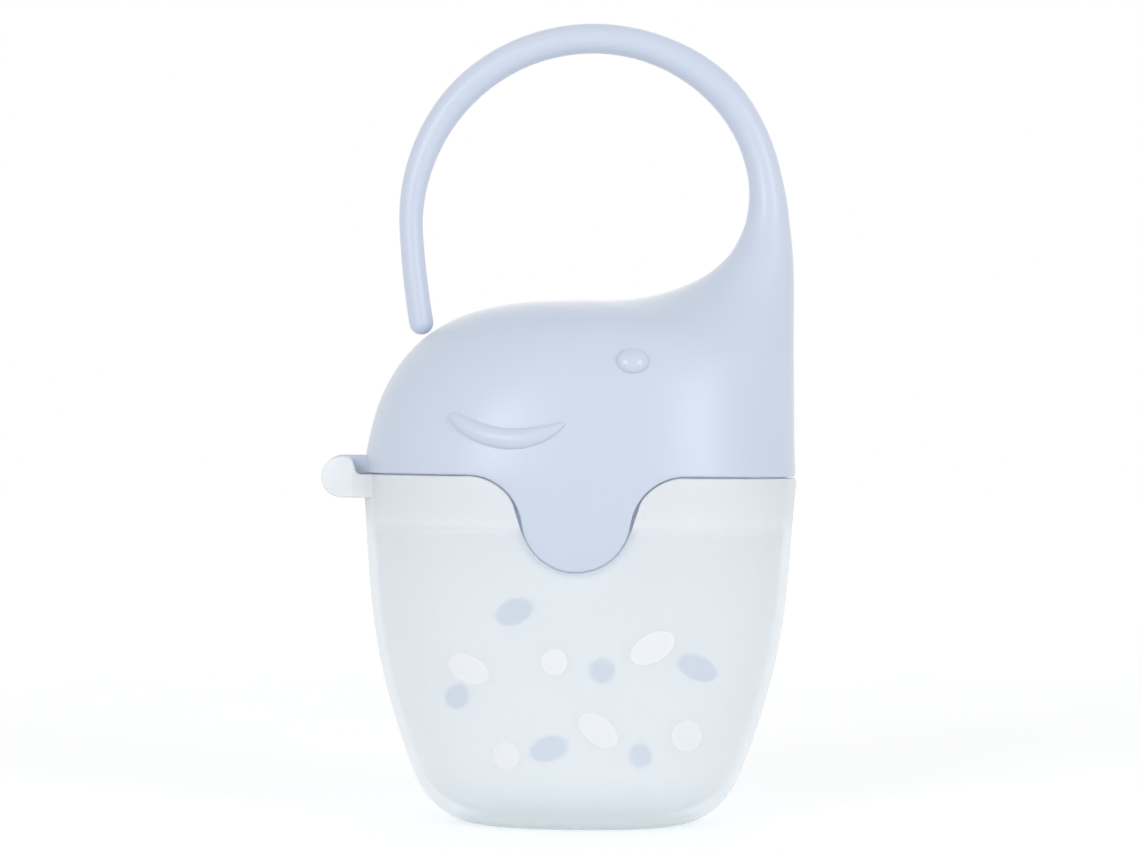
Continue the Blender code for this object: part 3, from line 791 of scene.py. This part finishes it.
def smilePillow(lid):
    # a pillow on an arc, fuller in the middle
    f = faceShape
    length, sag = f["smileLength"], f["smileSag"]
    radius = (length ** 2 / 4 + sag ** 2) / (2 * sag)
    reach, tilt = math.asin(length / 2 / radius), math.radians(f["smileTilt"])
    x, z = facePlace(*f["smile"])
    centre = Vector((x, 0, z)) + radius * Vector((-math.sin(tilt), 0, math.cos(tilt)))
    rings, steps = [], 48
    for k in range(steps + 1):
        along = 2 * k / steps - 1
        turn = -math.pi / 2 + tilt + reach * along
        out = Vector((math.cos(turn), 0, math.sin(turn)))
        place, normal = onHead(lid, centre.x + radius * out.x, centre.z + radius * out.z)
        end = 0 if along < 0 else 1
        tip = f["smileTips"][end]
        full = tip + (1 - tip) * max(1 - along * along, 0) ** f["smileFull"][end]
        across = (out - normal * out.dot(normal)).normalized()
        high = f["smileRise"] * (f["smileLow"] + (1 - f["smileLow"]) * full)
        half = f["smileThick"] / 2 * full
        rings.append(addRing(place, across * half, normal * high, 2.0, 32))
    pillow = joinRings(rings, "smilePillow")
    closeHoles(pillow)
    return pillow


def buildLid():
    lid = lidShell()
    reliefs = eyeDome(lid), smilePillow(lid)
    for part in (lidLip(), lidKnuckle()):
        cutOrJoin(lid, part, "UNION")
    half = hingeShape["boreHalf"]
    cutOrJoin(lid, hingeBar("knuckleBore", hingeShape["bore"], -half, half), "DIFFERENCE")
    for piece in reliefs:
        cutOrJoin(lid, copyToBack(piece), "UNION")
        cutOrJoin(lid, piece, "UNION")
    smooth(lid)
    return lid


def hingeBar(name, diameter, lowY, highY):
    # a round bar along the hinge's axis
    bpy.ops.mesh.primitive_cylinder_add(
        vertices=64, radius=diameter / 2, depth=highY - lowY, rotation=(math.pi / 2, 0, 0),
        location=hingeShape["axis"] + Vector((0, (lowY + highY) / 2, 0)))
    bar = bpy.context.object
    bpy.ops.object.transform_apply(location=True, rotation=True, scale=True)
    bar.name = name
    return bar


def notchRow(ring, rowShare, inset):
    # pulls the middle of a high row of the cup down to the notch's edge, front and back
    outline = tabOutline(tabShape["gap"])
    start, end = outline[0][0].x, outline[0][-1].x
    rimHalf, lowHalf = cupShape["rim"][0] - inset, cupAt(cupShape["notchFrom"])[0] - inset
    rowHalf = max(v.co.x for v in ring.data.vertices)
    for vert in ring.data.vertices:
        across = vert.co.x / rowHalf
        rimX = across * rimHalf
        if start < rimX < end:
            edge = alongOutline(outline, (rimX - start) / (end - start))
            # the gap opens to a slit where the tab's edge is steepest
            extra, out, long = tabShape["slit"]
            aside = edge.x - tabShape["offset"]
            opened = extra * math.exp(-((abs(aside) - out) / long * 2) ** 2)
            edge.x += math.copysign(opened, aside)
            low = Vector((across * lowHalf, 0, cupShape["notchFrom"]))
            place = low.lerp(edge, rowShare)
            width, depth = (size - inset for size in cupAt(place.z))
            side = math.copysign(1, vert.co.y)
            vert.co = (place.x, side * ovalDepth(place.x, width, depth, cupShape["power"]), place.z)


def cupShell():
    c = cupShape
    points, rows = c["points"], c["notchRows"]
    # the plain rows stop a little under the notch's first
    low = [row for row in cupRows(*c["rowsBelow"]) if row[0] < c["notchFrom"] - 0.0008]
    rings = [cupOval(row[0], 0, points) for row in low]
    for inset in (0, c["wall"]):
        order = range(rows + 1) if inset == 0 else range(rows, -1, -1)
        for k in order:
            height = c["notchFrom"] + (c["rimHeight"] - c["notchFrom"]) * k / rows
            rings.append(cupOval(height, inset, points))
            notchRow(rings[-1], k / rows, inset)
    for z, a, b in reversed(low):
        # below the heel the hollow narrows to a flat floor
        height = max(z, c["floor"] + z * (c["heelHeight"] - c["floor"]) / c["heelHeight"])
        left, right = Vector((c["wall"] - a, 0, height)), Vector((a - c["wall"], 0, height))
        rings.append(spanRing(left, right, b - c["wall"], c["power"], points))
    cup = joinRings(rings, "cupBody")
    closeHoles(cup)
    bevelSharp(cup, c["rimRound"], 4)
    return cup


def lugPiece(side):
    # a round end on the hinge's axis, a level underside, and an S down to the cup's rim
    h = hingeShape
    radius = h["lug"] / 2
    rim = Vector((-cupShape["rim"][0], 0, cupShape["rimHeight"] - h["lugSink"]))
    leave, arrive = h["lugTurn"]
    turn = math.radians(leave)
    start = h["axis"] + radius * Vector((math.cos(turn), 0, math.sin(turn)))
    first = start + Vector((math.sin(turn), 0, -math.cos(turn))) * radius * h["lugEase"][0]
    second = rim - Vector((radius * h["lugEase"][1], 0, 0))
    outline = [bezier(rim, second, first, start, k / 16) for k in range(17)]
    for k in range(1, 49):
        turn = math.radians(leave + (arrive - leave) * k / 48)
        outline.append(h["axis"] + radius * Vector((math.cos(turn), 0, math.sin(turn))))
    outline += [Vector((h["lugRoots"][0], 0, h["axis"].z - radius)),
                Vector((h["lugRoots"][0], 0, rim.z))]
    bpy.ops.mesh.primitive_circle_add(vertices=len(outline), radius=radius, fill_type="NGON")
    lug = bpy.context.object
    lug.name = "lug"
    for vert, place in zip(lug.data.vertices, outline):
        vert.co = place + Vector((0, side * h["lugFrom"], 0))
    makeActive(lug)
    pickVerts(lug, lambda v: True)
    bpy.ops.mesh.extrude_region_move(
        TRANSFORM_OT_translate={"value": (0, side * h["lugWidth"], 0)})
    outwards()
    objectMode()
    # the root's outer corner reaches further in, because the cup's wall curves away there
    far = h["lugFrom"] + h["lugWidth"] - 0.0001
    for vert in lug.data.vertices:
        if abs(vert.co.y) > far and vert.co.x > h["lugRoots"][0] - 0.0001:
            vert.co.x = h["lugRoots"][1]
    ends = h["lugFrom"] + 0.0001, far
    bevelSharp(lug, h["edge"], 3, lambda place: (
        not ends[0] < abs(place.y) < ends[1] and place.x < -cupShape["rim"][0] + 0.0012))
    return lug


def buildCup():
    cup = cupShell()
    h = hingeShape
    relief = hingeBar("knuckleRelief", h["relief"] * 2, -h["lugFrom"], h["lugFrom"])
    cutOrJoin(cup, relief, "DIFFERENCE")
    for side in (-1, 1):
        cutOrJoin(cup, lugPiece(side), "UNION")
    outer = h["lugFrom"] + h["lugWidth"]
    bore = hingeBar("lugBore", h["bore"], -outer + h["blindWall"], outer + h["borePast"])
    cutOrJoin(cup, bore, "DIFFERENCE")
    smooth(cup)
    return cup


lid = buildLid()
print("lid modelled")
cup = buildCup()
print("cup modelled")
for piece, node in ((lid, "lid"), (cup, "cup")):
    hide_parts(node)
    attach(piece, node)


# Satin polypropylene, injection moulded: an even colour, soft wide highlights, a faint spark-eroded
# grain of about 0.25 mm, and a very slight cloudiness where the melt has flowed
lidFinish = {
    "colour": ("#C7D1E2", "#CBD5E6"),
    "cloud": 0.018,                # metres between clouds
    "grain": 0.00025,
    "grainDepth": 0.000012,
    "roughness": (0.31, 0.36),
    "bead": 0.21,                  # roughness of the eye, which is polished in the mould
    "sheen": (0.75, 0.35),         # the pale rim that the fine grain gives: strength, roughness
}

lidPlastic, tree = newMaterial("satinPolypropylene")
where = addNode(tree, "ShaderNodeTexCoord").outputs["Object"]
cloud = addNode(tree, "ShaderNodeTexNoise", None,
                {"Scale": 1 / lidFinish["cloud"], "Detail": 2.0}, {"Vector": where})
tone = mixColours(tree, cloud.outputs["Fac"], *lidFinish["colour"])
grain = addNode(tree, "ShaderNodeTexNoise", None,
                {"Scale": 1 / lidFinish["grain"], "Detail": 1.0}, {"Vector": where})
gloss = addNode(tree, "ShaderNodeMapRange", None,
                {"To Min": lidFinish["roughness"][0], "To Max": lidFinish["roughness"][1]},
                {"Value": cloud.outputs["Fac"]})
bead = addNode(tree, "ShaderNodeAttribute", {"attribute_name": "eyeBead"}).outputs["Fac"]
gloss = addNode(tree, "ShaderNodeMapRange", None, {"To Max": lidFinish["bead"]},
                {"Value": bead, "To Min": gloss.outputs["Result"]})
bump = addNode(tree, "ShaderNodeBump", None,
               {"Strength": 0.5, "Distance": lidFinish["grainDepth"]},
               {"Height": grain.outputs["Fac"]})
shell = addNode(tree, "ShaderNodeBsdfPrincipled", None,
                {"IOR": 1.49, "Sheen Weight": lidFinish["sheen"][0],
                 "Sheen Roughness": lidFinish["sheen"][1]},
                {"Base Color": tone, "Roughness": gloss.outputs["Result"],
                 "Normal": bump.outputs["Normal"]})
addNode(tree, "ShaderNodeOutputMaterial", None, None, {"Surface": shell.outputs[0]})

# Natural polypropylene, injection moulded and left unpigmented: milky and see-through at once, so
# the far wall and the lid's lip show as pale ghosts, with a satin skin. Its motifs are pad-printed
cupFinish = {
    "milk": ("#F7FCFF", "#FAFDFF"),
    "veil": 0.50,                  # how much of each wall face is milk and not clear
    "glow": 0.41,                  # how much of the milk lets light through
    "low": ("#DEE5E4", 0.0016),    # painted contact shade along the base, next to the floor, and how high it reaches
    "foot": (0.78, 0.0140),        # the glow in the rounded foot, and up to where
    "thick": (0.86, 0.22),         # both in the lugs, and at the rim where the lid's lip doubles it
    "rimShare": 0.85,              # how much of that the rim has
    "rimFade": 0.0012,             # it fades over this much above and below the lip's edge
    "lugsFrom": (-0.0372, -0.0392),
    "roughness": 0.34,
    "cloud": 0.012,
    "grain": 0.0003,
    "grainDepth": 0.00001,
    "ink": "#EEF1F6",
    "inkBehind": "#8BAEE8",
    "inkEdges": (0.00008, 0.0011), # how soft the edges are, on the front and on the back
    "inked": (0.95, 0.05),         # what veil and glow are where there is ink
    # ovals on the front and the back: across, up, half width, half height, tilt in degrees
    "front": [
        (-0.0185, 0.0275, 0.0036, 0.0023, 24),
        (-0.0040, 0.0290, 0.0022, 0.0022, 0),
        (0.0125, 0.0315, 0.0040, 0.0024, -30),
        (-0.0120, 0.0130, 0.0023, 0.0023, 0),
        (0.0035, 0.0175, 0.0038, 0.0023, 38),
        (0.0185, 0.0165, 0.0026, 0.0026, 0),
    ],
    "back": [
        (-0.0115, 0.0350, 0.0036, 0.0024, -22),
        (0.0045, 0.0245, 0.0024, 0.0024, 0),
        (0.0215, 0.0255, 0.0037, 0.0023, 20),
        (-0.0215, 0.0200, 0.0023, 0.0023, 0),
        (-0.0050, 0.0105, 0.0036, 0.0023, -14),
        (0.0115, 0.0095, 0.0022, 0.0022, 0),
    ],
}


def motifMask(tree, where, ovals, soft):
    # 1 inside the ovals and 0 outside, with an edge this soft
    best = None
    for across, up, wide, high, tilt in ovals:
        spot = addNode(tree, "ShaderNodeMapping", {"vector_type": "TEXTURE"}, {
            "Location": (across, 0, up), "Rotation": (0, math.radians(tilt), 0),
            "Scale": (wide, 1000, high)}, {"Vector": where})
        reach = addNode(tree, "ShaderNodeVectorMath", {"operation": "LENGTH"}, None,
                        {0: spot.outputs[0]})
        mask = addNode(tree, "ShaderNodeMapRange", {"interpolation_type": "SMOOTHSTEP"}, {
            "From Min": 1 + soft / wide / 2, "From Max": 1 - soft / wide / 2},
            {"Value": reach.outputs["Value"]})
        if best is None:
            best = mask.outputs["Result"]
        else:
            best = addNode(tree, "ShaderNodeMath", {"operation": "MAXIMUM"}, None,
                           {0: best, 1: mask.outputs["Result"]}).outputs[0]
    return best


cupPlastic, tree = newMaterial("milkyPolypropylene")
where = addNode(tree, "ShaderNodeTexCoord").outputs["Object"]
cloud = addNode(tree, "ShaderNodeTexNoise", None,
                {"Scale": 1 / cupFinish["cloud"], "Detail": 3.0}, {"Vector": where})
milk = mixColours(tree, cloud.outputs["Fac"], *cupFinish["milk"])
inner = addNode(tree, "ShaderNodeAttribute", {"attribute_name": "inside"}).outputs["Fac"]
outer = addNode(tree, "ShaderNodeMath", {"operation": "SUBTRACT"}, {0: 1.0}, {1: inner}).outputs[0]
parts = addNode(tree, "ShaderNodeSeparateXYZ", None, None, {0: where})

# white ink lies on the front's outer face and blue ink on the back's, where the wall's inner face
# is left clear over it so that it shows through
masks = []
for side, test, soft in zip(("front", "back"), ("LESS_THAN", "GREATER_THAN"),
                            cupFinish["inkEdges"]):
    here = addNode(tree, "ShaderNodeMath", {"operation": test}, {1: 0.0}, {0: parts.outputs["Y"]})
    ovals = motifMask(tree, where, cupFinish[side], soft)
    masks.append(combine(tree, "MULTIPLY", ovals, here.outputs[0]))
ink, shade = (combine(tree, "MULTIPLY", mask, outer) for mask in masks)
opening = combine(tree, "MULTIPLY", masks[1], inner)
# painted contact shade: the milk is darkened over the lowest part of the wall, where it meets the
# floor
low = addNode(tree, "ShaderNodeMapRange", {"interpolation_type": "SMOOTHSTEP"}, {
    "From Min": cupFinish["low"][1], "From Max": 0.0}, {"Value": parts.outputs["Z"]})
milk = mixOver(tree, low.outputs["Result"], milk, cupFinish["low"][0])
milk = mixOver(tree, ink, milk, cupFinish["ink"])
milk = mixOver(tree, shade, milk, cupFinish["inkBehind"])
grain = addNode(tree, "ShaderNodeTexNoise", None,
                {"Scale": 1 / cupFinish["grain"], "Detail": 1.0}, {"Vector": where})
bump = addNode(tree, "ShaderNodeBump", None, {"Strength": 0.4, "Distance": cupFinish["grainDepth"]},
               {"Height": grain.outputs["Fac"]})
skin = addNode(tree, "ShaderNodeBsdfPrincipled", None,
               {"Roughness": cupFinish["roughness"], "IOR": 1.49},
               {"Base Color": milk, "Normal": bump.outputs["Normal"]})
inked = combine(tree, "MAXIMUM", ink, shade)
glow = addNode(tree, "ShaderNodeBsdfTranslucent", None, None, {"Color": milk})
rim = addNode(tree, "ShaderNodeMapRange", {"interpolation_type": "SMOOTHSTEP"}, {
    "From Min": lidShape["lipLow"] - cupFinish["rimFade"],
    "From Max": lidShape["lipLow"] + cupFinish["rimFade"],
    "To Max": cupFinish["rimShare"]}, {"Value": parts.outputs["Z"]})
lugs = addNode(tree, "ShaderNodeMapRange", None, {
    "From Min": cupFinish["lugsFrom"][0], "From Max": cupFinish["lugsFrom"][1]},
    {"Value": parts.outputs["X"]})
thick = combine(tree, "MAXIMUM", rim.outputs["Result"], lugs.outputs["Result"])
veil = addNode(tree, "ShaderNodeMapRange", None, {
    "To Min": cupFinish["veil"], "To Max": cupFinish["thick"][0]}, {"Value": thick})
lets = addNode(tree, "ShaderNodeMapRange", None, {
    "To Min": cupFinish["glow"], "To Max": cupFinish["thick"][1]}, {"Value": thick})
foot = addNode(tree, "ShaderNodeMapRange", {"interpolation_type": "SMOOTHSTEP"}, {
    "From Min": cupFinish["foot"][1], "From Max": 0.0, "To Max": cupFinish["foot"][0]},
    {"Value": parts.outputs["Z"], "To Min": lets.outputs["Result"]})
passes = addNode(tree, "ShaderNodeMapRange", None, {"To Max": cupFinish["inked"][1]},
                 {"Value": inked, "To Min": foot.outputs["Result"]})
body = addNode(tree, "ShaderNodeMixShader", None, None,
               {0: passes.outputs["Result"], 1: skin.outputs[0], 2: glow.outputs[0]})
solid = addNode(tree, "ShaderNodeMapRange", None, {"To Max": cupFinish["inked"][0]},
                {"Value": inked, "To Min": veil.outputs["Result"]})
shown = addNode(tree, "ShaderNodeMapRange", None, {"To Max": 0.0},
                {"Value": opening, "To Min": solid.outputs["Result"]})
clear = addNode(tree, "ShaderNodeBsdfTransparent", None, {"Color": hexColour("#FFFFFF")})
mixed = addNode(tree, "ShaderNodeMixShader", None, None,
                {0: shown.outputs["Result"], 1: clear.outputs[0], 2: body.outputs[0]})
addNode(tree, "ShaderNodeOutputMaterial", None, None, {"Surface": mixed.outputs[0]})

# Drawn steel wire: bright, with fine scratches along its length
pinFinish = {
    "colour": "#C9CCD0",
    "scratches": (12000.0, 300.0, 12000.0),    # how many to the metre, each way
    "scratchDepth": 0.00001,
    "roughness": (0.22, 0.38),
}

pinSteel, tree = newMaterial("drawnSteel")
where = addNode(tree, "ShaderNodeTexCoord").outputs["Object"]
stretch = addNode(tree, "ShaderNodeMapping", None, {"Scale": pinFinish["scratches"]},
                  {"Vector": where})
lines = addNode(tree, "ShaderNodeTexNoise", None, {"Scale": 1.0, "Detail": 2.0},
                {"Vector": stretch.outputs[0]})
gloss = addNode(tree, "ShaderNodeMapRange", None,
                {"To Min": pinFinish["roughness"][0], "To Max": pinFinish["roughness"][1]},
                {"Value": lines.outputs["Fac"]})
bump = addNode(tree, "ShaderNodeBump", None,
               {"Strength": 0.3, "Distance": pinFinish["scratchDepth"]},
               {"Height": lines.outputs["Fac"]})
steel = addNode(tree, "ShaderNodeBsdfPrincipled", None,
                {"Base Color": hexColour(pinFinish["colour"]), "Metallic": 1.0},
                {"Roughness": gloss.outputs["Result"], "Normal": bump.outputs["Normal"]})
addNode(tree, "ShaderNodeOutputMaterial", None, None, {"Surface": steel.outputs[0]})


def wallDepth(place):
    # how far a point is inside the cup's outer surface, measured towards its axis
    width, depth = cupAt(min(max(place.z, 0.0005), cupShape["rimHeight"]))
    power = cupShape["power"]
    share = (abs(place.x / width) ** power + abs(place.y / depth) ** power) ** (1 / power)
    return (1 - share) * math.hypot(place.x, place.y) / max(share, 0.01)


def onEye(place):
    # the eye's oval, on either side of the head
    x, z = facePlace(*faceShape["eye"])
    wide, high = faceShape["eyeSize"]
    return math.hypot((place.x - x) * 2 / wide, (place.z - z) * 2 / high) < 1.02


# marks that the materials read: the faces of the cup's wall, and the lid's glossy eyes
for piece, name, test in (
        (cup, "inside", lambda place: wallDepth(place) > cupShape["wall"] / 2),
        (lid, "eyeBead", onEye)):
    marks = piece.data.attributes.new(name, "FLOAT", "POINT")
    marks.data.foreach_set("value", [float(test(vert.co)) for vert in piece.data.vertices])

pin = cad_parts["hinge_pin"]
for piece, material in ((lid, lidPlastic), (cup, cupPlastic), (pin, pinSteel)):
    piece.data.materials.clear()
    piece.data.materials.append(material)
print("materials set")
